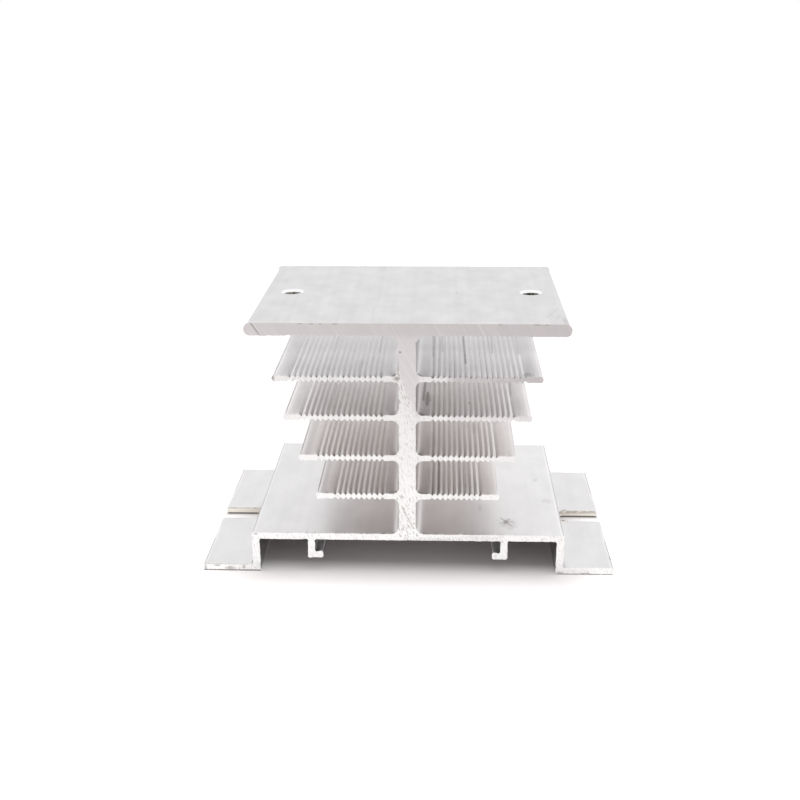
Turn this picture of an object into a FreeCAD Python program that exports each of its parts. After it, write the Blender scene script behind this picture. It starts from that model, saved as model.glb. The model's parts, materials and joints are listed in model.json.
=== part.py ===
"""Heat sink for a puck-shaped relay: one aluminium extrusion, cut to length, drilled, tapped and slotted.

The section lies in the XZ plane and is symmetric about X = 0. It is extruded along Y.
Z = 0 is the underside of the two feet, and the origin is the middle of that footprint.
All lengths are millimetres.
"""

import FreeCAD
import Part

import math
import os

# Extrusion
CUT_LENGTH = 50.0

# Tapped holes for the relay's screws, modelled at their tapping size
SCREW_SPACING = 48.0
TAPPING_DIAMETER = 3.3
COUNTERSINK_DIAMETER = 4.3

# Relay pad, the plate on top, which reaches past the two screws by a margin
PAD_MARGIN = 6.0
PAD_THICKNESS = 2.4

# Web, the upright wall in the middle
WEB_THICKNESS = 3.2
ROOT_FILLET = 1.8

# Fins, lowest first: the clear gap under each one, and its width from tip to tip
FIN_GAPS = (7.3, 6.7, 6.9, 6.5)
FIN_WIDTHS = (35.0, 41.2, 46.5, 50.3)
FIN_THICKNESS = 1.1
FIN_TIP_RADIUS = 0.45
PAD_GAP = 7.65

# Grooves along the fins and under the pad
GROOVE_PITCH = 1.0
GROOVE_DEPTH = 0.3
CREST_RISE = 0.1
ROOT_LAND = 2.65
TIP_LAND = 2.8
SCREW_LAND = 0.1

# Base plate on its two legs
BASE_WIDTH = 60.3
BASE_THICKNESS = 1.3
BASE_CLEARANCE = 6.85
LEG_THICKNESS = 1.45
BEND_RADIUS = 0.25

# Feet, turned outwards from the legs
FOOT_REACH = 9.85
FOOT_THICKNESS = 1.45
FOOT_TIP_RADIUS = 0.5

# Hooks that slide on a 35 mm rail: width and sheet thickness of the rail, with its running room
RAIL_WIDTH = 35.0
RAIL_SHEET = 1.0
RAIL_SIDE_ROOM = 0.4
RAIL_SHEET_ROOM = 1.5
HOOK_THICKNESS = 1.4
LIP_LENGTH = 1.5
LIP_THICKNESS = 1.3
LIP_RADIUS = 0.25

# Open screw slots, milled into the feet from their tips
SLOT_WIDTH = 5.5
SLOT_END_WALL = 0.3

# Heights and half widths that follow from the sizes above
SCREW_X = SCREW_SPACING / 2
HALF_PAD = SCREW_X + PAD_MARGIN
PAD_GROOVES_END = SCREW_X - TAPPING_DIAMETER / 2 - SCREW_LAND
BASE_TOP = BASE_CLEARANCE + BASE_THICKNESS
HALF_WEB = WEB_THICKNESS / 2
HALF_BASE = BASE_WIDTH / 2
FOOT_TIP = HALF_BASE + FOOT_REACH
HOOK_INSIDE = RAIL_WIDTH / 2 + RAIL_SIDE_ROOM
HOOK_OUTSIDE = HOOK_INSIDE + HOOK_THICKNESS
LIP_END = HOOK_INSIDE - LIP_LENGTH
LIP_TOP = BASE_CLEARANCE - RAIL_SHEET - RAIL_SHEET_ROOM
LIP_BOTTOM = LIP_TOP - LIP_THICKNESS
PAD_BOTTOM = BASE_TOP + sum(FIN_GAPS) + len(FIN_GAPS) * FIN_THICKNESS + PAD_GAP
PAD_TOP = PAD_BOTTOM + PAD_THICKNESS

# Lengths shorter than this count as nothing
TINY = 1e-6


def section_point(x, z):
    """A point of the section, at the front cut."""
    return FreeCAD.Vector(x, -CUT_LENGTH / 2, z)


def grooves(surface, outward, start, end, direction):
    """Corners of the V grooves in one flat surface, from start to end along X.

    outward is +1 where the metal's open side is up and -1 where it is down. direction is +1 for corners
    listed away from the web, and -1 for corners listed towards it. The crests between two grooves
    stand a little proud of the flat surface.
    """
    count = int((end - start) / GROOVE_PITCH + TINY)
    if count < 1:
        return []
    crest = surface + outward * CREST_RISE
    valley = surface - outward * GROOVE_DEPTH
    corners = [(start, surface, 0.0)]
    for groove in range(count):
        corners.append((start + (groove + 0.5) * GROOVE_PITCH, valley, 0.0))
        corners.append((start + (groove + 1.0) * GROOVE_PITCH, crest, 0.0))
    corners[-1] = (start + count * GROOVE_PITCH, surface, 0.0)
    return corners[::direction]


def rail_hook():
    """Corners of one hook under the base plate, from its inner side to its outer side."""
    return [
        (HOOK_INSIDE, BASE_CLEARANCE, BEND_RADIUS),
        (HOOK_INSIDE, LIP_TOP, BEND_RADIUS),
        (LIP_END, LIP_TOP, LIP_RADIUS),
        (LIP_END, LIP_BOTTOM, LIP_RADIUS),
        (HOOK_OUTSIDE, LIP_BOTTOM, LIP_RADIUS),
        (HOOK_OUTSIDE, BASE_CLEARANCE, BEND_RADIUS),
    ]


def leg_and_foot():
    """Corners of one leg and its foot, from inside the leg to the base plate's top edge."""
    return [
        (HALF_BASE - LEG_THICKNESS, BASE_CLEARANCE, BEND_RADIUS),
        (HALF_BASE - LEG_THICKNESS, 0.0, BEND_RADIUS),
        (FOOT_TIP, 0.0, FOOT_TIP_RADIUS),
        (FOOT_TIP, FOOT_THICKNESS, FOOT_TIP_RADIUS),
        (HALF_BASE, FOOT_THICKNESS, BEND_RADIUS),
        (HALF_BASE, BASE_TOP, BEND_RADIUS),
    ]


def fin(bottom, half_width):
    """Corners of one fin, out along its underside and back along its top."""
    top = bottom + FIN_THICKNESS
    start = HALF_WEB + ROOT_LAND
    end = half_width - TIP_LAND
    corners = [(HALF_WEB, bottom, ROOT_FILLET)]
    corners += grooves(bottom, -1, start, end, 1)
    corners.append((half_width, bottom, FIN_TIP_RADIUS))
    corners.append((half_width, top, FIN_TIP_RADIUS))
    corners += grooves(top, 1, start, end, -1)
    corners.append((HALF_WEB, top, ROOT_FILLET))
    return corners


def pad():
    """Corners of the relay pad's right half. Its edge is fully round."""
    edge_radius = PAD_THICKNESS / 2
    corners = [(HALF_WEB, PAD_BOTTOM, ROOT_FILLET)]
    corners += grooves(PAD_BOTTOM, -1, HALF_WEB + ROOT_LAND, PAD_GROOVES_END, 1)
    corners.append((HALF_PAD, PAD_BOTTOM, edge_radius))
    corners.append((HALF_PAD, PAD_TOP, edge_radius))
    return corners


def section_corners():
    """The whole section as corners (x, z, radius), anticlockwise seen from the front."""
    right = rail_hook() + leg_and_foot()
    right.append((HALF_WEB, BASE_TOP, ROOT_FILLET))
    level = BASE_TOP
    for gap, width in zip(FIN_GAPS, FIN_WIDTHS):
        right += fin(level + gap, width / 2)
        level += gap + FIN_THICKNESS
    right += pad()
    left = [(-x, z, radius) for x, z, radius in reversed(right)]
    return right + left


def rounded_corner(before, corner, after, radius):
    """The tangent points and the middle of the arc that rounds one corner, or the corner alone."""
    to_before = before - corner
    to_after = after - corner
    opening = to_before.getAngle(to_after)
    room = min(to_before.Length, to_after.Length) / 2
    reach = min(radius / math.tan(opening / 2), room)
    if reach < TINY:
        return corner, None, corner
    used_radius = reach * math.tan(opening / 2)
    to_before.normalize()
    to_after.normalize()
    bisector = to_before + to_after
    bisector.normalize()
    middle_depth = used_radius / math.sin(opening / 2) - used_radius
    return corner + to_before * reach, corner + bisector * middle_depth, corner + to_after * reach


def section_wire(corners):
    """A closed wire through the corners, each rounded by its own radius."""
    points = [section_point(x, z) for x, z, _ in corners]
    rounded = []
    for index, (_, _, radius) in enumerate(corners):
        before = points[index - 1]
        after = points[(index + 1) % len(points)]
        rounded.append(rounded_corner(before, points[index], after, radius))
    edges = []
    for index, (arc_start, arc_middle, arc_end) in enumerate(rounded):
        if arc_middle is not None:
            edges.append(Part.Arc(arc_start, arc_middle, arc_end).toShape())
        next_start = rounded[(index + 1) % len(rounded)][0]
        if arc_end.distanceToPoint(next_start) > TINY:
            edges.append(Part.LineSegment(arc_end, next_start).toShape())
    return Part.Wire(edges)


def tapped_hole(x):
    """The space of one tapped hole through the pad, with its countersink."""
    sink_radius = COUNTERSINK_DIAMETER / 2
    bore_radius = TAPPING_DIAMETER / 2
    sink_depth = sink_radius - bore_radius
    foot = FreeCAD.Vector(x, 0, PAD_BOTTOM - PAD_THICKNESS)
    up = FreeCAD.Vector(0, 0, 1)
    bore = Part.makeCylinder(bore_radius, 3 * PAD_THICKNESS, foot, up)
    sink_foot = FreeCAD.Vector(x, 0, PAD_TOP - sink_depth)
    sink = Part.makeCone(bore_radius, sink_radius + sink_depth, 2 * sink_depth, sink_foot, up)
    return bore.fuse(sink)


def foot_slot(side):
    """The space of one open slot through a foot: a round inner end and straight sides out past the tip."""
    radius = SLOT_WIDTH / 2
    centre = HALF_BASE + SLOT_END_WALL + radius
    depth = 3 * FOOT_THICKNESS
    bottom = -FOOT_THICKNESS
    round_end = Part.makeCylinder(
        radius, depth, FreeCAD.Vector(side * centre, 0, bottom), FreeCAD.Vector(0, 0, 1)
    )
    straight_length = FOOT_TIP + SLOT_WIDTH - centre
    straight_start = centre if side > 0 else -centre - straight_length
    straight = Part.makeBox(
        straight_length, SLOT_WIDTH, depth, FreeCAD.Vector(straight_start, -radius, bottom)
    )
    return round_end.fuse(straight)


def heat_sink():
    """The extrusion with its tapped holes and foot slots."""
    face = Part.Face(section_wire(section_corners()))
    body = face.extrude(FreeCAD.Vector(0, CUT_LENGTH, 0))
    for side in (-1, 1):
        body = body.cut(tapped_hole(side * SCREW_X))
        body = body.cut(foot_slot(side))
    return body


os.makedirs("parts", exist_ok=True)
sink = heat_sink()
sink.exportStep("parts/heat_sink.step")
print("heat_sink", "valid", sink.isValid(), "solids", len(sink.Solids), "faces", len(sink.Faces))
print("volume mm3", round(sink.Volume, 1), "box", sink.BoundBox)
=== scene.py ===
import json
import math

import bmesh
import bpy
from mathutils import Matrix, Vector


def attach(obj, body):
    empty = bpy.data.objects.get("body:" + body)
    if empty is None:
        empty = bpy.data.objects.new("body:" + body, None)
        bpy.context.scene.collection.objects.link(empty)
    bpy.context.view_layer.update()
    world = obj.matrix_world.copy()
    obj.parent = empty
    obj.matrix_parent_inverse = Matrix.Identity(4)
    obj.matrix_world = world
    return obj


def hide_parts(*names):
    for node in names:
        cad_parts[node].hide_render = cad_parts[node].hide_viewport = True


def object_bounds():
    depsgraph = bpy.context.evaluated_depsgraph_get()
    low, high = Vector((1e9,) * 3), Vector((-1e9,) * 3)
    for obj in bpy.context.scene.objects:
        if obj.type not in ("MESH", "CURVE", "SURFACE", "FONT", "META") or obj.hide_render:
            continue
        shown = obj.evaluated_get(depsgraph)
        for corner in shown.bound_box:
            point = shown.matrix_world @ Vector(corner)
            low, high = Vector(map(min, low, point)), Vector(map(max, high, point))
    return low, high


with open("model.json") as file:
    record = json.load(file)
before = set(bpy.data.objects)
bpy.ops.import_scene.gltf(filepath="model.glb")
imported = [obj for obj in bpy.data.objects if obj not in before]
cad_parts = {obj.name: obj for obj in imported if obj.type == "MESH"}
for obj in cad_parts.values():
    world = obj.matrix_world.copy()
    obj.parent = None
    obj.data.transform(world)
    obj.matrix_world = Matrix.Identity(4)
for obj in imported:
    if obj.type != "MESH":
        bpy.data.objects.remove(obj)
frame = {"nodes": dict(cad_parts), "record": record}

cad_low, cad_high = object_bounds()


# The die outline
# The sink is one bare aluminium extrusion, so everything starts from the outline of its die. The frame's
# solid has that outline on its front cut, with the fine grooves of the fins drawn as sharp corners.

MM = 0.001
WELD_DISTANCE = 0.001 * MM
CUT_FACING = 0.99


def die_outline(node):
    """Corners of a node's front cut, as (x, z, 0), anticlockwise seen from the front."""
    shell = bmesh.new()
    shell.from_mesh(node.data)
    bmesh.ops.remove_doubles(shell, verts=shell.verts, dist=WELD_DISTANCE)
    shell.normal_update()
    following = {}
    for face in shell.faces:
        if face.normal.y < -CUT_FACING:
            for corner in face.loops:
                if corner.link_loop_radial_next.face.normal.y > -CUT_FACING:
                    following[corner.vert] = corner.link_loop_next.vert
    start = min(following, key=lambda vertex: (vertex.co.x, vertex.co.z))
    corners = [Vector((start.co.x, start.co.z, 0))]
    vertex = following[start]
    while vertex is not start:
        corners.append(Vector((vertex.co.x, vertex.co.z, 0)))
        vertex = following[vertex]
    shell.free()
    return corners


outline_corners = die_outline(frame["nodes"]["heat_sink"])
outline_mesh = bpy.data.meshes.new("die_outline")
outline_mesh.from_pydata(
    outline_corners,
    [(index, (index + 1) % len(outline_corners)) for index in range(len(outline_corners))],
    [],
)
extrusion = bpy.data.objects.new("extrusion", outline_mesh)
bpy.context.scene.collection.objects.link(extrusion)


# Pressing and sawing
# The press leaves the bar smooth along its length, with its grooves worn soft by the die. The saw then tears
# the grooves of the fins open at both cuts, smears those of the pad and leaves a ragged burr.

SECTION_STEP = 0.108 * MM
WORN_RELIEF = -0.48
LEFT_WEAR = 0.28
OUTER_WEAR = 0.12
OUTER_WEAR_START = -8 * MM
OUTER_WEAR_END = -15 * MM
LOWEST_GROOVE = 12.0 * MM
TORN_RELIEF = 0.32
SMEARED_RELIEF = -0.90
PAD_UNDERSIDE = 46.5 * MM
PAD_GROOVES_END = 22.3 * MM
FINE_RELIEF = 0.2 * MM
COARSE_RELIEF = 0.3 * MM
LEVELLING_PASSES = 60
STATIONS = 11
STATION_CROWDING = 3.5
BURR_HEIGHT = 0.30 * MM
BURR_GRAIN = 0.55 * MM
BURR_REACH = 0.30 * MM


class Flow:
    """A value on its way through a node tree. Arithmetic on it adds Math nodes to that tree."""

    def __init__(self, socket):
        self.socket = socket

    def sibling(self, name):
        """Another output of the node that this value comes from."""
        return Flow(self.socket.node.outputs[name])

    def __add__(self, other):
        return arithmetic("ADD", self, other)

    def __sub__(self, other):
        return arithmetic("SUBTRACT", self, other)

    def __rsub__(self, other):
        return arithmetic("SUBTRACT", other, self)

    def __mul__(self, other):
        return arithmetic("MULTIPLY", self, other)

    def __truediv__(self, other):
        return arithmetic("DIVIDE", self, other)

    def __pow__(self, other):
        return arithmetic("POWER", self, other)

    def __abs__(self):
        return arithmetic("ABSOLUTE", self)

    def __gt__(self, other):
        return arithmetic("GREATER_THAN", self, other)

    def __lt__(self, other):
        return arithmetic("LESS_THAN", self, other)

    __radd__ = __add__
    __rmul__ = __mul__


def named_socket(sockets, identifier):
    """The socket with an identifier, which tells apart sockets that share a name."""
    return next(socket for socket in sockets if socket.identifier == identifier)


def add(tree, kind, settings, values, output=None):
    """Add a node: its settings first, then a value or links for each socket, by the socket's identifier."""
    node = tree.nodes.new(kind)
    for name, setting in settings.items():
        setattr(node, name, setting)
    for name, value in values.items():
        socket = named_socket(node.inputs, name)
        for part in value if isinstance(value, list) else [value]:
            if isinstance(part, Flow):
                tree.links.new(part.socket, socket)
            else:
                socket.default_value = part
    return Flow(named_socket(node.outputs, output) if output else node.outputs[0])


def arithmetic(operation, *values):
    """One Math node on numbers and flows."""
    tree = next(value for value in values if isinstance(value, Flow)).socket.id_data
    names = ("Value", "Value_001", "Value_002")
    return add(tree, "ShaderNodeMath", {"operation": operation}, dict(zip(names, values)))


def vectors(operation, *values, output=None):
    """One Vector Math node on vectors and flows."""
    tree = next(value for value in values if isinstance(value, Flow)).socket.id_data
    names = ("Vector", "Vector_001", "Vector_002")
    return add(tree, "ShaderNodeVectorMath", {"operation": operation}, dict(zip(names, values)), output)


def scaled(vector, factor):
    """A vector or colour times a number, of which at least one is a flow."""
    tree = next(value for value in (vector, factor) if isinstance(value, Flow)).socket.id_data
    settings = {"operation": "SCALE"}
    return add(tree, "ShaderNodeVectorMath", settings, {"Vector": vector, "Scale": factor})


def split(vector):
    """The three numbers of a vector flow."""
    x = add(vector.socket.id_data, "ShaderNodeSeparateXYZ", {}, {"Vector": vector})
    return x, x.sibling("Y"), x.sibling("Z")


def joined(x, y, z):
    """A vector flow from three numbers, of which at least one is a flow."""
    tree = next(value for value in (x, y, z) if isinstance(value, Flow)).socket.id_data
    return add(tree, "ShaderNodeCombineXYZ", {}, {"X": x, "Y": y, "Z": z})


def ramp(value, low, high):
    """0 up to low, 1 from high on, and a soft step between them. low may be the larger one."""
    tree = value.socket.id_data
    values = {"Value": value, "From Min": low, "From Max": high}
    return add(tree, "ShaderNodeMapRange", {"interpolation_type": "SMOOTHSTEP"}, values)


def noise(vector, scale, detail):
    """Noise around 0.5 at the given number of grains per unit of the vector."""
    tree = vector.socket.id_data
    return add(tree, "ShaderNodeTexNoise", {}, {"Vector": vector, "Scale": scale, "Detail": detail})


def tree_input(tree, name, kind):
    """A named input of a geometry tree, as a flow."""
    tree.interface.new_socket(name, in_out="INPUT", socket_type=kind)
    group = next((node for node in tree.nodes if node.type == "GROUP_INPUT"), None)
    group = group or tree.nodes.new("NodeGroupInput")
    return Flow(group.outputs[name])


def stored(tree, geometry, name, kind, domain, value):
    """The geometry with a named attribute."""
    settings = {"data_type": kind, "domain": domain}
    values = {"Geometry": geometry, "Name": name, "Value": value}
    return add(tree, "GeometryNodeStoreNamedAttribute", settings, values)


def blurred(tree, value, passes):
    """A vector field, averaged with its neighbours."""
    settings = {"data_type": "FLOAT_VECTOR"}
    return add(tree, "GeometryNodeBlurAttribute", settings, {"Value": value, "Iterations": passes})


def pressed_section(tree, outline, step):
    """The outline as a curve of even steps. Each point knows how far it stands proud of the surface around
    it and which way is out of the metal."""
    position = add(tree, "GeometryNodeInputPosition", {}, {})
    curve = add(tree, "GeometryNodeMeshToCurve", {}, {"Mesh": outline})
    curve = add(tree, "GeometryNodeResampleCurve", {"mode": "LENGTH"}, {"Curve": curve, "Length": step})
    tangent = add(tree, "GeometryNodeInputTangent", {}, {})
    outward = vectors("CROSS_PRODUCT", tangent, (0, 0, 1))
    level = blurred(tree, position, LEVELLING_PASSES)
    proud = vectors("DOT_PRODUCT", vectors("SUBTRACT", position, level), outward, output="Value")
    curve = stored(tree, curve, "proud", "FLOAT", "POINT", proud)
    return stored(tree, curve, "outward", "FLOAT_VECTOR", "POINT", outward)


def sawn_bar(tree, section, length, burr):
    """The section swept along the bar, with crowded stations near the cuts. The grooves are worn soft along
    the bar, torn deep at the cuts of the fins, and smeared shut at those of the pad. A burr stands on the
    edges of the cuts. The bar is made upright and laid down at the end."""
    half = length / 2
    ends = {"Start": joined(0, 0, half * -1), "End": joined(0, 0, half)}
    line = add(tree, "GeometryNodeCurvePrimitiveLine", {}, ends)
    line = add(tree, "GeometryNodeResampleCurve", {"mode": "COUNT"}, {"Curve": line, "Count": STATIONS})
    position = add(tree, "GeometryNodeInputPosition", {}, {})
    x, z, along = split(position)
    share = along / half
    crowded = arithmetic("SIGN", share) * (1 - (1 - abs(share)) ** STATION_CROWDING)
    values = {"Geometry": line, "Position": joined(0, 0, crowded * half)}
    line = add(tree, "GeometryNodeSetPosition", {}, values)
    bar = add(
        tree, "GeometryNodeCurveToMesh", {}, {"Curve": line, "Profile Curve": section, "Fill Caps": True}
    )
    outward = add(
        tree, "GeometryNodeInputNamedAttribute", {"data_type": "FLOAT_VECTOR"}, {"Name": "outward"}
    )
    near_cut = ramp(abs(along), half - BURR_REACH, half)
    proud = add(tree, "GeometryNodeInputNamedAttribute", {"data_type": "FLOAT"}, {"Name": "proud"})
    groove = proud * ramp(abs(proud), COARSE_RELIEF, FINE_RELIEF)
    under_pad = (z > PAD_UNDERSIDE) * (abs(x) < PAD_GROOVES_END)
    outer_wear = ramp(x, OUTER_WEAR_START, OUTER_WEAR_END) * OUTER_WEAR
    worn_relief = WORN_RELIEF - (x < 0) * (z > LOWEST_GROOVE) * (outer_wear + LEFT_WEAR)
    cut_relief = TORN_RELIEF + under_pad * (SMEARED_RELIEF - TORN_RELIEF)
    relief = groove * (near_cut * (cut_relief - worn_relief) + worn_relief)
    ragged = noise(position, 1 / BURR_GRAIN, 4.0) - 0.5
    offset = scaled(outward, ragged * near_cut * burr + relief)
    bar = add(tree, "GeometryNodeSetPosition", {}, {"Geometry": bar, "Offset": offset})
    lying = (math.pi / 2, 0, 0)
    bar = add(tree, "GeometryNodeTransform", {}, {"Geometry": bar, "Rotation": lying})
    boxed = vectors("MINIMUM", vectors("MAXIMUM", position, cad_low), cad_high)
    return add(tree, "GeometryNodeSetPosition", {}, {"Geometry": bar, "Position": boxed})


# The screw holes
# Two holes for the relay's M4 screws, drilled through the pad, countersunk and tapped. The solid has them at
# the tapping size, and the thread is cut here. What a tool has cut carries the number of its finish.

screw_pattern = next(mount for mount in frame["record"]["mounts"] if mount["name"] == "relay_screws")
SCREW_X = screw_pattern["dims"]["spacing_x_mm"] / 2 * MM
TAPPING_RADIUS = screw_pattern["dims"]["hole_r_mm"] * MM
THREAD_RADIUS = 2.0 * MM
THREAD_PITCH = 0.7 * MM
THREAD_FLAT = 0.1
THREAD_SIDES = 48
THREAD_RINGS = 84
SINK_RADIUS = 2.15 * MM
PAD_THICKNESS = 2.4 * MM
HOLE_DEPTH = 2 * PAD_THICKNESS
MACHINED = 2


def tapped_hole(tree, x, pad_top):
    """The space of one hole: a thread that opens into its countersink."""
    settings = {"fill_type": "NGON"}
    values = {"Vertices": THREAD_SIDES, "Side Segments": THREAD_RINGS, "Radius": 1.0, "Depth": HOLE_DEPTH}
    hole = add(tree, "GeometryNodeMeshCylinder", settings, values)
    px, py, pz = split(add(tree, "GeometryNodeInputPosition", {}, {}))
    turn = arithmetic("ARCTAN2", py, px) / math.tau + pz / THREAD_PITCH
    flank = abs(arithmetic("FRACT", turn) * 2 - 1)
    thread = TAPPING_RADIUS + ramp(flank, THREAD_FLAT, 1 - THREAD_FLAT) * (THREAD_RADIUS - TAPPING_RADIUS)
    sink = pz - PAD_THICKNESS / 2 + SINK_RADIUS
    radius = arithmetic("MAXIMUM", thread, sink)
    values = {"Geometry": hole, "Position": joined(px * radius, py * radius, pz)}
    hole = add(tree, "GeometryNodeSetPosition", {}, values)
    hole = stored(tree, hole, "finish", "INT", "FACE", MACHINED)
    middle = (x, 0, pad_top - PAD_THICKNESS / 2)
    return add(tree, "GeometryNodeTransform", {}, {"Geometry": hole, "Translation": middle})


# The foot slots
# Each foot has a slot milled in from its tip for a panel screw. The cutter leaves a round inner end, pale
# walls and a curled burr along the upper edge.

SLOT_WIDTH = 5.5 * MM
SLOT_SEGMENTS = 14
FOOT_THICKNESS = 1.45 * MM
slot_mount = next(mount for mount in frame["record"]["mounts"] if mount["name"] == "right_foot_slot")
SLOT_CENTRE = slot_mount["pos_m"][0]
FOOT_TIP = cad_high.x
CURL_RADII = {-1: 0.24 * MM, 1: 0.62 * MM}
CURL_SIDES = 8
CURL_STEP = 0.1 * MM
CURL_GRAIN = 1.3 * MM
CURL_SETBACK = 0.1 * MM
CURL_SINK = 0.35
CURL_LEAST = 0.30
CURL_SWELL = 0.75


def slot_edge(tree, side):
    """A closed loop round one slot, in the plane of the floor, with its outer end past the foot's tip."""
    inner = SLOT_CENTRE - SLOT_WIDTH / 2
    outer = FOOT_TIP + SLOT_WIDTH
    values = {"Width": outer - inner, "Height": SLOT_WIDTH}
    loop = add(tree, "GeometryNodeCurvePrimitiveQuadrilateral", {}, values)
    values = {"Curve": loop, "Radius": SLOT_WIDTH / 2, "Limit Radius": True, "Count": SLOT_SEGMENTS}
    loop = add(tree, "GeometryNodeFilletCurve", {"mode": "POLY"}, values)
    middle = (side * (inner + outer) / 2, 0, 0)
    return add(tree, "GeometryNodeTransform", {}, {"Geometry": loop, "Translation": middle})


def foot_slot(tree, side):
    """The space of one slot."""
    depth = 3 * FOOT_THICKNESS
    line = add(
        tree, "GeometryNodeCurvePrimitiveLine", {}, {"Start": (0, 0, -depth), "End": (0, 0, depth)}
    )
    values = {"Curve": line, "Profile Curve": slot_edge(tree, side), "Fill Caps": True}
    slot = add(tree, "GeometryNodeCurveToMesh", {}, values)
    return stored(tree, slot, "finish", "INT", "FACE", MACHINED)


def slot_curl(tree, side):
    """The curled burr along the upper edge of one slot, from the tip round to the tip again."""
    loop = add(tree, "GeometryNodeCurveToMesh", {}, {"Curve": slot_edge(tree, side)})
    position = add(tree, "GeometryNodeInputPosition", {}, {})
    past_tip = abs(split(position)[0]) > FOOT_TIP - CURL_SETBACK
    settings = {"domain": "POINT"}
    loop = add(tree, "GeometryNodeDeleteGeometry", settings, {"Geometry": loop, "Selection": past_tip})
    edge = add(tree, "GeometryNodeMeshToCurve", {}, {"Mesh": loop})
    values = {"Curve": edge, "Length": CURL_STEP}
    edge = add(tree, "GeometryNodeResampleCurve", {"mode": "LENGTH"}, values)
    radius = CURL_RADII[side]
    lift = (0, 0, FOOT_THICKNESS - radius * CURL_SINK)
    edge = add(tree, "GeometryNodeTransform", {}, {"Geometry": edge, "Translation": lift})
    values = {"Resolution": CURL_SIDES, "Radius": radius}
    ring = add(tree, "GeometryNodeCurvePrimitiveCircle", {}, values)
    lumps = ramp(noise(position, 1 / CURL_GRAIN, 4.0), 0.38, 0.66) * CURL_SWELL + CURL_LEAST
    values = {"Curve": edge, "Profile Curve": ring, "Scale": lumps, "Fill Caps": True}
    curl = add(tree, "GeometryNodeCurveToMesh", {}, values)
    return stored(tree, curl, "finish", "INT", "FACE", MACHINED)


# The finished mesh
# The bar, its holes, slots and burrs are one piece of metal, so they are cut and joined into one closed mesh
# before it gets its three finishes: the pressed skin, the sawn cuts and the machined holes and slots.

SHARP_ANGLE = math.radians(38)
FINISH_TOLERANCE = 0.1


def build_tree(finishes):
    """The geometry tree of the whole sink, from the outline to the finished mesh. The finishes come in the
    order of their numbers: 0 the pressed skin, 1 the sawn cuts and 2 what a tool has cut."""
    tree = bpy.data.node_groups.new("heat_sink_extrusion", "GeometryNodeTree")
    outline = tree_input(tree, "Outline", "NodeSocketGeometry")
    length = tree_input(tree, "Cut length", "NodeSocketFloat")
    step = tree_input(tree, "Section step", "NodeSocketFloat")
    burr = tree_input(tree, "Burr height", "NodeSocketFloat")
    tree.interface.new_socket("Metal", in_out="OUTPUT", socket_type="NodeSocketGeometry")
    section = pressed_section(tree, outline, step)
    bar = sawn_bar(tree, section, length, burr)
    facing = abs(split(add(tree, "GeometryNodeInputNormal", {}, {}))[1])
    bar = stored(tree, bar, "finish", "INT", "FACE", facing > CUT_FACING)
    cutters = [tapped_hole(tree, side * SCREW_X, cad_high.z) for side in (-1, 1)]
    cutters += [foot_slot(tree, side) for side in (-1, 1)]
    settings = {"operation": "DIFFERENCE", "solver": "MANIFOLD"}
    metal = add(tree, "GeometryNodeMeshBoolean", settings, {"Mesh 1": bar, "Mesh 2": cutters})
    curls = [slot_curl(tree, side) for side in (-1, 1)]
    settings = {"operation": "UNION", "solver": "MANIFOLD"}
    metal = add(tree, "GeometryNodeMeshBoolean", settings, {"Mesh 2": [metal, *curls]})
    sharp = add(tree, "GeometryNodeInputMeshEdgeAngle", {}, {}) > SHARP_ANGLE
    metal = add(tree, "GeometryNodeSetShadeSmooth", {"domain": "FACE"}, {"Geometry": metal})
    values = {"Geometry": metal, "Selection": sharp, "Shade Smooth": False}
    metal = add(tree, "GeometryNodeSetShadeSmooth", {"domain": "EDGE"}, values)
    metal = add(tree, "GeometryNodeRealizeInstances", {}, {"Geometry": metal})
    finish = add(tree, "GeometryNodeInputNamedAttribute", {"data_type": "INT"}, {"Name": "finish"})
    for number, material in enumerate(finishes):
        chosen = arithmetic("COMPARE", finish, number, FINISH_TOLERANCE)
        values = {"Geometry": metal, "Selection": chosen, "Material": material}
        metal = add(tree, "GeometryNodeSetMaterial", {}, values)
    output = tree.nodes.new("NodeGroupOutput")
    tree.links.new(metal.socket, output.inputs["Metal"])
    return tree


# The pressed skin
# Mill-finish aluminium straight from the press: satin, pale grey, with fine die lines along the bar. Grease
# darkens some of the grooves, and handling has left smudges and scratches. Painted shade, warmer in tint,
# darkens the depths between the fins and under the base, and painted light and shade lie on the sides and
# tips of the fins.

SKIN_COLOUR = (0.805, 0.793, 0.798)
DEPTH_SHADE_COLOUR = (0.778, 0.743, 0.733)
GREASE_COLOUR = (0.30, 0.28, 0.27)
PAINTED_HIGHLIGHT_COLOUR = (0.97, 0.97, 0.97)
SKIN_ROUGHNESS = 0.30
PAD_TONE = 0.885
BASE_DULLNESS = 0.02
SKIN_BUMP = 0.02 * MM

# Places in millimetres, as the finishes take them. The fins are counted from the lowest up, and the smooth
# land along a fin's edge starts further out the higher the fin is.
BASE_UNDERSIDE = 6.85
BASE_TOP = 8.15
FIN_1_TOP = 16.4
FIN_2_TOP = 24.35
FIN_3_TOP = 32.35
FIN_4_TOP = 39.9
PAD_TOP = 50.0
FINS_START = 9.5
LOWER_FINS_END = 37.5
FINS_END = 49.0
LAND_AT_FLOOR = 9.4
LAND_SLOPE = 0.333
GROOVES_START = 4.2
LEG_INSIDE = 28.75
PAD_SIDE = 29.2
REAR_EDGE = 24.6
RIM_OFFSET_X = 0.2
RIM_OFFSET_Y = 0.35
RIM_INSIDE = 2.14
RIM_OUTSIDE = 2.36


def new_finish(name, roughness):
    """A bare aluminium material with its node tree, its shader and the shaded point in millimetres."""
    material = bpy.data.materials.new(name)
    material.use_nodes = True
    tree = material.node_tree
    shader = tree.nodes["Principled BSDF"]
    shader.inputs["Metallic"].default_value = 1.0
    shader.inputs["Roughness"].default_value = roughness
    point = add(tree, "ShaderNodeTexCoord", {}, {}, "Object")
    return material, tree, shader, scaled(point, 1 / MM)


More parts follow.
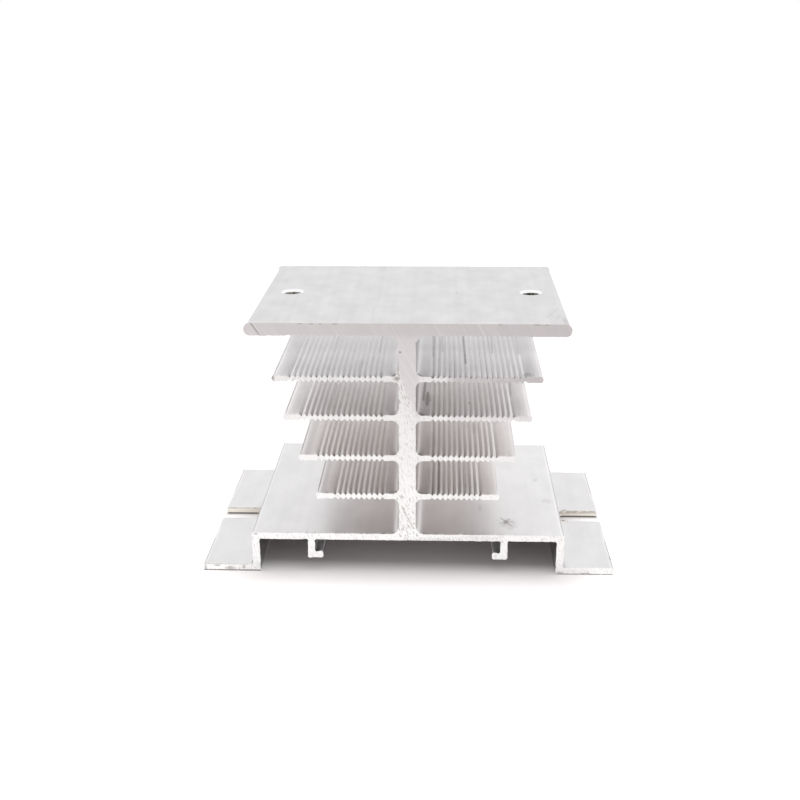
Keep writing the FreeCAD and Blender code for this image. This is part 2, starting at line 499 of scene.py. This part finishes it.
def mixed(factor, first, second):
    """A colour flow between two colours, each a flow or a fixed one."""
    tree = factor.socket.id_data
    first, second = (colour if isinstance(colour, Flow) else (*colour, 1) for colour in (first, second))
    values = {"Factor_Float": factor, "A_Color": first, "B_Color": second}
    return add(tree, "ShaderNodeMix", {"data_type": "RGBA"}, values, "Result_Color")


def bumped(tree, shader, height, distance, strength):
    """Feed a height in millimetres to the shader's normal."""
    values = {"Height": height, "Distance": distance, "Strength": strength}
    bump = add(tree, "ShaderNodeBump", {}, values)
    tree.links.new(bump.socket, shader.inputs["Normal"])


def streaky(place, stretch, grain, detail):
    """Noise drawn out along the second of three coordinates, along which it changes only stretch as fast."""
    across, along, through = place
    return noise(joined(across, along * stretch, through), grain, detail)


def clamped(value, low, high):
    """A number flow kept between two limits."""
    return arithmetic("MINIMUM", arithmetic("MAXIMUM", value, low), high)


def spot(point, centre, size, raggedness, grain):
    """A ragged spot: 1 in its middle and 0 outside, at a centre and with a size along each axis, in mm."""
    away = vectors("SUBTRACT", point, centre)
    away = vectors("DIVIDE", away, size)
    edge = vectors("LENGTH", away, output="Value") + (noise(point, grain, 3.0) - 0.5) * raggedness
    return ramp(edge, 1.0, 0.35)


def scratch(point, start, end, width):
    """A line between two places in mm: 1 along its middle and 0 outside its width."""
    start, end = Vector(start), Vector(end)
    way = end - start
    from_start = vectors("SUBTRACT", point, start)
    share = vectors("DOT_PRODUCT", from_start, way / way.length_squared, output="Value")
    share = clamped(share, 0, 1)
    away = vectors("LENGTH", vectors("SUBTRACT", from_start, scaled(way, share)), output="Value")
    return ramp(away + (noise(point, 1.5, 2.0) - 0.5) * width, width, width * 0.3)


# Each smudge: its middle, its size, how ragged and how fine its edge is, and its depth
SMUDGES = [
    ((19.2, -18.7, BASE_TOP), (0.7, 1.3, 1.0), 1.0, 1.6, 0.65),
    ((19.6, -19.4, BASE_TOP), (2.2, 3.4, 1.0), 2.0, 0.8, 0.20),
    ((26.5, 3.5, BASE_TOP), (0.7, 1.2, 1.0), 1.6, 2.0, 0.20),
    ((28.1, -7.9, BASE_TOP), (1.3, 1.3, 1.0), 2.6, 2.0, 0.20),
    ((14.3, -11.9, BASE_TOP), (0.5, 2.4, 1.0), 1.8, 2.0, 0.20),
    ((22.3, -23.2, FIN_4_TOP + 0.05), (1.3, 2.2, 1.0), 1.6, 2.2, 0.55),
    ((9.3, -0.5, PAD_TOP), (0.28, 0.6, 1.0), 0.4, 3.0, 0.50),
    ((11.7, -16.8, FIN_3_TOP), (0.30, 0.9, 1.0), 0.4, 3.0, 0.70),
    ((13.1, -8.8, FIN_2_TOP), (0.9, 4.0, 1.0), 1.6, 1.6, 0.30),
    ((29.0, -22.5, PAD_TOP), (0.7, 3.5, 1.0), 1.4, 1.4, 0.35),
    ((3.7, -14.5, FIN_3_TOP), (0.9, 4.5, 1.0), 2.0, 1.8, 0.65),
]
# Each streak: where it starts and ends, its width and its depth
STREAKS = [
    ((3.1, -3.0, FIN_3_TOP), (2.8, -16.0, FIN_3_TOP), 0.34, 0.90),
    ((3.7, -11.0, FIN_3_TOP), (3.6, -19.0, FIN_3_TOP), 0.36, 0.95),
    ((20.2, -1.0, FIN_3_TOP), (19.9, -12.5, FIN_3_TOP), 0.28, 0.60),
    ((10.7, 5.0, FIN_4_TOP), (10.9, -16.0, FIN_4_TOP), 0.34, 0.90),
    ((4.6, 5.0, FIN_4_TOP), (4.7, -12.0, FIN_4_TOP), 0.28, 0.75),
    ((6.4, 5.0, FIN_4_TOP), (6.5, -8.0, FIN_4_TOP), 0.22, 0.55),
    ((16.5, 5.0, FIN_4_TOP), (16.3, -9.0, FIN_4_TOP), 0.22, 0.60),
    ((21.6, 5.0, FIN_4_TOP), (21.4, -10.0, FIN_4_TOP), 0.24, 0.55),
    ((-5.9, 8.0, FIN_4_TOP), (-5.9, -9.0, FIN_4_TOP), 0.20, 0.50),
    ((5.95, 4.0, FIN_1_TOP), (6.0, -24.0, FIN_1_TOP), 0.36, 0.80),
    ((11.5, -6.0, FIN_1_TOP), (11.4, -24.0, FIN_1_TOP), 0.34, 0.55),
    ((10.2, 2.0, FIN_1_TOP), (10.2, -24.0, FIN_1_TOP), 0.50, 0.30),
    ((-14.6, -6.0, FIN_3_TOP - 0.15), (-14.5, -24.0, FIN_3_TOP - 0.15), 0.26, 0.40),
    ((39.7, -19.8, 1.2), (39.75, -21.2, 1.2), 0.28, 0.70),
    ((39.8, -22.0, 1.1), (39.8, -24.6, 1.1), 0.24, 0.55),
    ((25.8, -19.9, PAD_TOP), (28.6, -12.6, PAD_TOP), 0.16, 0.30),
    ((27.0, -22.5, PAD_TOP), (28.6, -17.5, PAD_TOP), 0.14, 0.25),
    ((-6.8, -11.7, PAD_TOP), (-6.4, -23.2, PAD_TOP), 0.16, 0.18),
    ((18.3, -16.8, BASE_TOP), (20.3, -20.9, BASE_TOP), 0.24, 0.50),
    ((20.0, -17.0, BASE_TOP), (18.7, -20.2, BASE_TOP), 0.22, 0.45),
    ((18.0, -19.3, BASE_TOP), (20.6, -18.4, BASE_TOP), 0.34, 0.40),
]


def handled(point, colour):
    """The colour with the smudges and streaks that handling has left on it."""
    for centre, size, raggedness, grain, depth in SMUDGES:
        colour = mixed(spot(point, centre, size, raggedness, grain) * depth, colour, GREASE_COLOUR)
    for start, end, width, depth in STREAKS:
        colour = mixed(scratch(point, start, end, width) * depth, colour, GREASE_COLOUR)
    return colour


def pressed_skin():
    """The finish of every surface that came out of the die."""
    material, tree, shader, point = new_finish("pressed_aluminium", SKIN_ROUGHNESS)
    x, y, z = split(point)

    # What varies along and across the bar
    fine = streaky((x, y, z), 0.008, 9.0, 3.0)
    broad = streaky((x, y, z), 0.02, 0.7, 2.0)
    cloud = streaky((x, y, z), 0.6, 0.22, 5.0)
    proud = add(tree, "ShaderNodeAttribute", {"attribute_name": "proud"}, {}, "Fac") / MM
    greasy = ramp(streaky((x, y, z * 2.0), 0.012, 1.4, 1.0), 0.40, 0.70)

    # Where on the section the point lies
    finned = ramp(z, FINS_START, FINS_START + 1.0) * ramp(z, FINS_END, FINS_END - 0.5)
    on_pad = ramp(z, FINS_END, FINS_END + 0.5)
    left = ramp(x, 1.0, -1.0)
    valley = ramp(proud + left * 0.05, -0.06, -0.15) * ramp(abs(x), GROOVES_START - 0.6, GROOVES_START)
    crest = ramp(proud, 0.05, 0.13)
    corner = ramp(proud, 0.17, 0.30)
    under_base = ramp(z, BASE_UNDERSIDE + 0.10, BASE_UNDERSIDE - 0.10)
    under_base_shade = under_base * ramp(abs(x), LEG_INSIDE + 0.15, LEG_INSIDE)
    on_leg = ramp(abs(x), LEG_INSIDE - 0.45, LEG_INSIDE - 0.15)
    on_base = ramp(z, FINS_START, FINS_START - 1.0) * ramp(z, BASE_UNDERSIDE + 0.15, BASE_UNDERSIDE + 0.65)
    lower_fins = ramp(z, LOWER_FINS_END + 1.7, LOWER_FINS_END) * finned
    on_top_fin = ramp(z, FIN_4_TOP - 1.7, FIN_4_TOP - 1.1) * ramp(z, FIN_4_TOP + 3.1, FIN_4_TOP + 2.1)
    fin_land = z * LAND_SLOPE + LAND_AT_FLOOR
    inner = ramp(abs(x) - fin_land, 0.5, -2.5)
    on_tips = ramp(abs(x) - fin_land, 0.5, 1.5)
    from_fin_3_down = ramp(z, FIN_3_TOP + 1.65, FIN_3_TOP - 2.35)
    from_fin_3_up = ramp(z, FIN_3_TOP - 2.35, FIN_3_TOP - 0.85)
    right_tips = ramp(x - fin_land, 1.0, 3.4) * from_fin_3_down

    # How light the metal is there: tone that differs at random, painted shade in the valleys of the grooves,
    # on the rounded edges, under the base, along the pad's sides and on the top fin's rear, and painted
    # light and shade on the sides and tips of the fins and on the two sides of the base
    tone = 1 + (fine - 0.5) * (finned * 0.14 + 0.06) + (broad - 0.5) * 0.06 + (cloud - 0.5) * 0.20
    # Painted shade darkens the valleys, with grease in some of them; the crests are lighter, partly from
    # polish and partly as a painted highlight.
    tone = tone * (1 - valley * (0.10 + greasy * 0.30 + left * 0.03)) * (1 + crest * 0.10)
    # Painted shade on the rounded edges, less of it on the fins.
    tone = tone * (1 - corner * (0.36 - finned * 0.28))
    # Painted shade under the base, darker on the legs' inner walls towards the rear.
    tone = tone * (1 - under_base_shade * (on_leg * (ramp(y, REAR_EDGE - 1.0, REAR_EDGE) * 0.40 + 0.24) + 0.06))
    # The pad is darker all over, and painted shade darkens it further along its rounded sides.
    pad_tone = PAD_TONE - ramp(abs(x), PAD_SIDE - 0.6, PAD_SIDE) * 0.10
    pad_tone = pad_tone + (cloud - 0.5) * 0.14 + (broad - 0.5) * 0.08
    tone = tone * (1 - on_pad * (1 - pad_tone))
    # Painted light and shade on the lower fins, the fin tips and the two sides of the base.
    tone = tone * (1 + lower_fins * (0.08 - inner * 0.18)) * (1 + on_base * ramp(x, 0, 3) * 0.055)
    tone = tone * (1 + finned * ramp(x, 0, 4) * (on_tips * 0.04 - 0.02))
    tone = tone * (1 - lower_fins * left * on_tips * from_fin_3_down * 0.18)
    tone = tone * (1 + lower_fins * left * from_fin_3_up * 0.035)
    tone = tone * (1 + on_base * ramp(x, -6.0, -10.0) * ramp(x, -22.0, -17.0) * 0.05)
    tone = tone * (1 + lower_fins * ramp(x, 0, 4) * 0.02 - lower_fins * right_tips * 0.14)
    # Painted shade on the top fin towards the rear, under the pad.
    tone = tone * (1 - on_top_fin * ramp(y, -11.0, -4.0) * 0.12)

    # Painted shade, warmer in tint, in the depths of the lower fins and of the base near the web; die marks,
    # specks, smudges and scratches; and a painted highlight on the rims of the screw holes
    # Painted shade: the depths near the web take a darker, warmer colour.
    depth_shade = lower_fins * (inner * 0.5 + 0.5) + on_base * ramp(abs(x), 20.0, 4.0) * 0.6
    colour = mixed(depth_shade, SKIN_COLOUR, DEPTH_SHADE_COLOUR)
    colour = scaled(colour, tone)
    die_mark = ramp(streaky((x, y, z * 0.5), 0.016, 5.5, 2.0), 0.60, 0.72) * finned
    colour = mixed(die_mark * ramp(abs(x) - fin_land, 0.0, -1.0) * 0.32, colour, GREASE_COLOUR)
    specks = ramp(streaky((x, y, z), 0.4, 2.6, 1.0), 0.77, 0.81) * 0.35
    colour = mixed(specks, colour, GREASE_COLOUR)
    colour = handled(point, colour)
    # Painted highlight: a bright ring round each screw hole, set a little towards the rear.
    from_hole = joined(abs(x - RIM_OFFSET_X) - SCREW_X / MM, y - RIM_OFFSET_Y, 0)
    from_hole = vectors("LENGTH", from_hole, output="Value")
    colour = mixed(ramp(from_hole, RIM_OUTSIDE, RIM_INSIDE) * on_pad, colour, PAINTED_HIGHLIGHT_COLOUR)
    tree.links.new(colour.socket, shader.inputs["Base Color"])
    roughness = on_base * BASE_DULLNESS + SKIN_ROUGHNESS
    tree.links.new(roughness.socket, shader.inputs["Roughness"])
    bumped(tree, shader, fine, SKIN_BUMP, 0.6)
    return material


# The sawn cuts
# Both ends are as the saw left them: bright, with slanting tooth marks and small dark tears. The blade ran
# smoothly through the pad and the top of the web and more roughly lower down. The smooth part is greyer and
# pinker, partly from its finish and partly as painted shade, and painted shadow darkens the bottom edge on
# the sheet.

SAWN_COLOUR = (0.965, 0.958, 0.950)
GLAZED_AND_SHADED_COLOUR = (0.848, 0.816, 0.821)
TORN_COLOUR = (0.38, 0.35, 0.33)
SAWN_ROUGHNESS = 0.34
SAW_SLANT = math.radians(60)
TEAR_SLANT = math.radians(68)
SAWN_BUMP = 0.06 * MM
FRONT_CUT = cad_low.y / MM
PAD_EDGE = cad_high.z / MM - 0.1
CHIP_HEIGHT = 0.22
CHIP_DEPTH = 0.5
WEB_SIDE = 1.9
PAD_CUT = 48.2

# Each nick in the front cut: its middle and size as (x, z), how ragged and how fine its edge is, its depth
NICKS = [
    ((-1.3, 44.6), (0.35, 0.25), 0.6, 4.0, 0.95),
    ((-1.9, 39.5), (0.8, 0.55), 1.0, 4.0, 0.80),
    ((-34.7, 0.6), (1.2, 0.55), 1.8, 3.0, 0.65),
    ((-25.0, 39.6), (0.5, 0.7), 1.0, 4.0, 0.80),
    ((-39.5, 0.7), (0.35, 0.9), 0.8, 3.0, 0.60),
    ((-37.2, 1.1), (1.0, 0.28), 1.0, 3.0, 0.60),
    ((-32.0, 0.8), (0.5, 0.5), 1.4, 3.0, 0.60),
    ((-29.4, 7.9), (0.6, 0.3), 1.0, 3.0, 0.60),
    ((13.8, 7.4), (5.0, 0.7), 2.6, 2.5, 0.22),
    ((6.0, 7.1), (5.0, 0.6), 2.6, 2.5, 0.30),
    ((34.3, 0.2), (1.6, 0.3), 1.6, 3.0, 0.60),
    ((29.6, 0.3), (0.8, 0.4), 1.2, 3.0, 0.55),
]
# Each score in the front cut: where it starts and ends as (x, z), its width and its depth
SCORES = [
    ((-28.6, 49.9), (-27.0, 47.6), 0.14, 0.85),
    ((-1.0, 13.9), (1.1, 9.4), 0.25, 0.45),
    ((-39.5, 1.42), (-31.2, 1.42), 0.16, 0.60),
    # Painted shadow: this score darkens the left foot's bottom edge where it meets the sheet.
    ((-39.5, 0.05), (-29.0, 0.05), 0.18, 0.60),
]
# Each chip in the front edge of the pad: its x and its width
CHIPS = [(-19.6, 0.7), (-17.6, 0.6), (-15.9, 0.4), (-13.2, 0.8), (17.0, 0.5), (23.6, 0.9), (25.4, 0.5)]


def slanted(x, z, slant):
    """How far a point lies across and along lines that rise at an angle."""
    across = x * math.sin(slant) + z * math.cos(slant)
    along = z * math.sin(slant) - x * math.cos(slant)
    return across, along


def sawn_cut():
    """The finish of the two cut ends."""
    material, tree, shader, point = new_finish("sawn_aluminium", SAWN_ROUGHNESS)
    x, y, z = split(point)

    # Where the blade ran smoothly, which is from the pad down to a slanting line across the web
    smooth = ramp(z + clamped(x, -1.8, 1.8) * 2.7, 35.6, 37.8)
    right_root = ramp(x, 1.8, 2.8) * ramp(x, 9.0, 6.5) * ramp(z, 41.6, 40.8)
    smooth = smooth * (1 - right_root)
    rough = 1 - smooth

    # Tooth marks and tears, each drawn out along its own slant
    across, along = slanted(x, z, SAW_SLANT)
    wide = streaky((across, along, y), 0.03, 0.22, 2.0)
    scores = streaky((across, along, y), 0.04, 0.9, 2.0)
    lines = streaky((across, along, y), 0.03, 3.4, 2.0)
    across_tears, along_tears = slanted(x, z, TEAR_SLANT)
    strokes = streaky((across_tears, along_tears, y), 0.18, 4.6, 3.0)
    flecks = streaky((across_tears, along_tears, y), 0.45, 5.2, 3.0)
    on_web = ramp(abs(x), WEB_SIDE + 0.9, WEB_SIDE)
    strokes = ramp(strokes, 0.53, 0.64) * (on_web * 0.42 + 0.30)
    torn = strokes + ramp(flecks, 0.57, 0.68) * (on_web * 0.28 + 0.27)
    torn = torn * (1 - ramp(z, 13.0, 19.0) * ramp(z, 36.0, 33.0) * 0.5)

    # How light the metal is, with a painted shadow along the bottom edge where the sink stands on the sheet,
    # and painted shade on the top of the pad's cut and on the top fin's front
    bright = ramp(scores, 0.62, 0.70) * 0.07 + (lines - 0.5) * ramp(wide, 0.35, 0.6) * 0.28
    contact_shadow = ramp(z + ramp(x, 10.0, -10.0) * -0.10, 0.24, 0.06)
    tone = (1 + bright * smooth) * (1 + (wide - 0.5) * 0.12) * (1 - contact_shadow * 0.88)
    # Painted shade on the top of the pad's cut and on the top fin's front.
    tone = tone * (1 - ramp(z, PAD_CUT - 1.4, PAD_CUT) * 0.095)
    top_fin = ramp(z, 36.0, 38.0) * ramp(z, 43.0, 41.0) * ramp(abs(x), 3.0, 6.0) * smooth
    tone = tone * (1 - top_fin * 0.17)

    # Colour, tears and marks
    # The smooth part takes a greyer, pinker colour: partly its finish, partly painted shade.
    colour = scaled(mixed(smooth, SAWN_COLOUR, GLAZED_AND_SHADED_COLOUR), tone)
    colour = mixed(torn * (rough * 0.92 + 0.08), colour, TORN_COLOUR)
    specks = ramp(noise(point, 2.2, 2.0), 0.73, 0.78) * 0.5
    colour = mixed(specks, colour, TORN_COLOUR)
    chips = [((chip_x, PAD_EDGE), (width, CHIP_HEIGHT), 0.8, 3.0, CHIP_DEPTH) for chip_x, width in CHIPS]
    for (nick_x, nick_z), (width, height), raggedness, grain, depth in NICKS + chips:
        nick = spot(point, (nick_x, FRONT_CUT, nick_z), (width, 1.0, height), raggedness, grain)
        colour = mixed(nick * depth, colour, TORN_COLOUR)
    for (start_x, start_z), (end_x, end_z), width, depth in SCORES:
        score = scratch(point, (start_x, FRONT_CUT, start_z), (end_x, FRONT_CUT, end_z), width)
        colour = mixed(score * depth, colour, TORN_COLOUR)
    tree.links.new(colour.socket, shader.inputs["Base Color"])
    bumped(tree, shader, flecks * rough * 0.7 + lines * 0.3, SAWN_BUMP, 0.8)
    return material


# The machined surfaces
# The slots and the tapped holes were cut dry into the pressed bar. Their walls are bright and faintly ringed
# by the tool, and the burr along the slots is greyer. Painted shadow darkens the foot of the walls, the
# countersinks carry a painted highlight, and the threads are painted nearly black as painted shade, with
# painted glints.

MACHINED_COLOUR = (0.90, 0.86, 0.78)
BURR_COLOUR = (0.52, 0.49, 0.46)
THREAD_SHADE_COLOUR = (0.07, 0.065, 0.06)
MACHINED_ROUGHNESS = 0.32
MACHINED_BUMP = 0.05 * MM
RIM_LEVEL = 49.6
THREAD_LEVEL = 49.45


def machined():
    """The finish of the slots, the holes and their burrs."""
    material, tree, shader, point = new_finish("machined_aluminium", MACHINED_ROUGHNESS)
    x, y, z = split(point)
    rings = noise(joined(x * 0.3, y * 0.3, z), 5.0, 3.0)
    # Painted shadow along the bottom of the walls, where the feet stand on the sheet.
    contact_shadow = ramp(z, 0.36, 0.14)
    lumpy = ramp(noise(point, 1.3, 4.0) + ramp(x, -5.0, 5.0) * 0.06, 0.42, 0.56) * 0.75 + 0.25
    lumpy = lumpy * ramp(z + ramp(x, 5, -5) * -0.35, 0.70, 0.90) * ramp(z, 20.0, 10.0)
    # Painted shade in the threads, broken by painted glints.
    in_thread = ramp(z, THREAD_LEVEL + 0.17, THREAD_LEVEL) * ramp(z, 30.0, 40.0)
    glint = ramp(noise(point, 2.2, 3.0) + ramp(x, 5.0, -5.0) * 0.10, 0.48, 0.60)
    tone = (1 - ramp(rings, 0.5, 0.8) * 0.25) * (1 - contact_shadow * 0.85)
    colour = scaled(MACHINED_COLOUR, tone)
    colour = mixed(lumpy * 0.85, colour, BURR_COLOUR)
    # Painted highlight on the countersinks.
    colour = mixed(ramp(z, RIM_LEVEL - 0.2, RIM_LEVEL), colour, PAINTED_HIGHLIGHT_COLOUR)
    colour = mixed(in_thread * (1 - glint * 0.75), colour, THREAD_SHADE_COLOUR)
    tree.links.new(colour.socket, shader.inputs["Base Color"])
    bumped(tree, shader, rings, MACHINED_BUMP, 0.6)
    return material


# The sink in one piece
# The outline goes once through the tree and comes out as the finished metal, as a plain mesh. It takes the
# place of the frame's solid and stands still, because nothing on the sink moves.

tree = build_tree([pressed_skin(), sawn_cut(), machined()])
modifier = extrusion.modifiers.new("pressing", "NODES")
modifier.node_group = tree
sizes = {"Cut length": cad_high.y - cad_low.y, "Section step": SECTION_STEP, "Burr height": BURR_HEIGHT}
for item in tree.interface.items_tree:
    if item.name in sizes:
        modifier[item.identifier] = sizes[item.name]
finished = bpy.data.meshes.new_from_object(extrusion.evaluated_get(bpy.context.evaluated_depsgraph_get()))
extrusion.modifiers.clear()
extrusion.data = finished
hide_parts("heat_sink")
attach(extrusion, "root")


# The table and the light
# The sink stands on a matt white sheet, in plain light from all round with one soft lamp above. Room and
# sheet look white to the camera and to the metal, and the sheet keeps the sink's shadow.

SHEET_SIZE = 6.0
SHEET_COLOUR = (0.755, 0.71, 0.71)
SHEET_ROUGHNESS = 0.9
ROOM_LIGHT = 0.62
SHADED_X = 28.6 * MM
SHADED_Y = 20.1 * MM
SHADE_SLANT = 0.02
SIDE_REACH = 10 * MM
FRONT_TAIL = 11.8 * MM
SLOT_SHADE_START = 1.5 * MM
SLOT_SHADE_END = 4.0 * MM
SLOT_SHADE_FADE = 0.3 * MM
GLOW = 0.56
FRONT_REACH = 260 * MM
FRONT_SLANT = 0.8
MIRRORED_GLOW = 0.58
MIRRORED_WARMTH = 0.95
LAMP_PLACE = (0.1, -0.1, 0.9)
LAMP_SIZE = 0.9
LAMP_POWER = 2.6


def seen_by(tree, ray):
    """1 for one kind of ray and 0 for the others."""
    return add(tree, "ShaderNodeLightPath", {}, {}, ray)


def white_room():
    """The world: plain light from all round, which the camera and the metal see as white."""
    world = bpy.data.worlds.new("white_room")
    world.use_nodes = True
    tree = world.node_tree
    background = tree.nodes["Background"]
    background.inputs["Color"].default_value = (1, 1, 1, 1)
    seen = seen_by(tree, "Is Camera Ray")
    for ray in ("Is Glossy Ray", "Is Transmission Ray"):
        seen = arithmetic("MAXIMUM", seen, seen_by(tree, ray))
    strength = seen * (1 - ROOM_LIGHT) + ROOM_LIGHT
    tree.links.new(strength.socket, background.inputs["Strength"])
    bpy.context.scene.world = world


def white_sheet():
    """The floor: a matt white sheet. Outside the sink's shadow it is lifted to plain white for the camera,
    and around the front of the sink for the metal that mirrors it. In the slots it stays dark along their
    rear walls."""
    half = SHEET_SIZE / 2
    corners = [(-half, -half, 0), (half, -half, 0), (half, half, 0), (-half, half, 0)]
    mesh = bpy.data.meshes.new("white_sheet")
    mesh.from_pydata(corners, [], [(0, 1, 2, 3)])
    sheet = bpy.data.objects.new("white_sheet", mesh)
    bpy.context.scene.collection.objects.link(sheet)
    material = bpy.data.materials.new("white_paper")
    material.use_nodes = True
    tree = material.node_tree
    shader = tree.nodes["Principled BSDF"]
    shader.inputs["Base Color"].default_value = (*SHEET_COLOUR, 1)
    shader.inputs["Roughness"].default_value = SHEET_ROUGHNESS
    shader.inputs["Specular IOR Level"].default_value = 0.0
    shader.inputs["Emission Strength"].default_value = 1.0
    point = add(tree, "ShaderNodeTexCoord", {}, {}, "Object")
    x, y, _ = split(point)
    beyond_x = arithmetic("MAXIMUM", abs(x) - SHADED_X, 0) / SIDE_REACH
    beyond_y = arithmetic("MAXIMUM", abs(y) - SHADED_Y - x * SHADE_SLANT, 0) / FRONT_TAIL
    away = vectors("LENGTH", joined(beyond_x, beyond_y, 0), output="Value")
    seen = arithmetic("MAXIMUM", seen_by(tree, "Is Camera Ray"), seen_by(tree, "Is Transmission Ray"))
    near = ramp(y - x * FRONT_SLANT, -FRONT_REACH, 0)
    mirrored = seen_by(tree, "Is Glossy Ray") * near * MIRRORED_GLOW
    under_wall = ramp(y, SLOT_SHADE_START, SLOT_WIDTH / 2) * ramp(y, SLOT_SHADE_END, SLOT_WIDTH / 2)
    under_wall = under_wall * ramp(abs(x), SHADED_X, SLOT_CENTRE)
    under_wall = under_wall * ramp(abs(x), FOOT_TIP + SLOT_SHADE_FADE, FOOT_TIP - SLOT_SHADE_FADE)
    reach = arithmetic("MINIMUM", away, 1) * (1 - under_wall)
    glow = reach * (seen * GLOW + mirrored)
    warm = reach * (seen * GLOW + mirrored * MIRRORED_WARMTH)
    tree.links.new(joined(warm, glow, glow).socket, shader.inputs["Emission Color"])
    mesh.materials.append(material)


def softbox(name, place, aim, size, power):
    """A square soft lamp that looks at a point."""
    lamp = bpy.data.lights.new(name, "AREA")
    lamp.shape = "SQUARE"
    lamp.size = size
    lamp.energy = power
    box = bpy.data.objects.new(name, lamp)
    bpy.context.scene.collection.objects.link(box)
    box.location = place
    box.rotation_euler = (Vector(aim) - Vector(place)).to_track_quat("-Z", "Y").to_euler()
    box.visible_glossy = False


white_room()
white_sheet()
softbox("top_light", LAMP_PLACE, (0, 0, 0), LAMP_SIZE, LAMP_POWER)


# The camera
# It stands a quarter of a metre in front of the sink and looks down on it a little, with the place and the
# lens that the photo's straight edges give.

CAMERA_PLACE = Vector((6.361, -240.653, 106.442)) * MM
CAMERA_PITCH = math.radians(18.230)
CAMERA_YAW = math.radians(2.0445)
CAMERA_ROLL = math.radians(-0.2239)
SENSOR_WIDTH = 36.0
FOCAL_PIXELS = 1222.99
PICTURE_PIXELS = 800
NEAREST_SEEN = 0.01


def look_through_camera():
    """The camera, turned by yaw, then pitch, then roll from level sight along +Y."""
    camera = bpy.data.cameras.new("camera")
    camera.sensor_width = SENSOR_WIDTH
    camera.lens = FOCAL_PIXELS * SENSOR_WIDTH / PICTURE_PIXELS
    camera.clip_start = NEAREST_SEEN
    viewer = bpy.data.objects.new("camera", camera)
    bpy.context.scene.collection.objects.link(viewer)
    turn = Matrix.Rotation(CAMERA_YAW, 4, "Z")
    turn @= Matrix.Rotation(math.pi / 2 - CAMERA_PITCH, 4, "X")
    turn @= Matrix.Rotation(CAMERA_ROLL, 4, "Z")
    viewer.matrix_world = Matrix.Translation(CAMERA_PLACE) @ turn
    bpy.context.scene.camera = viewer


look_through_camera()
bpy.context.scene.view_settings.view_transform = "Standard"
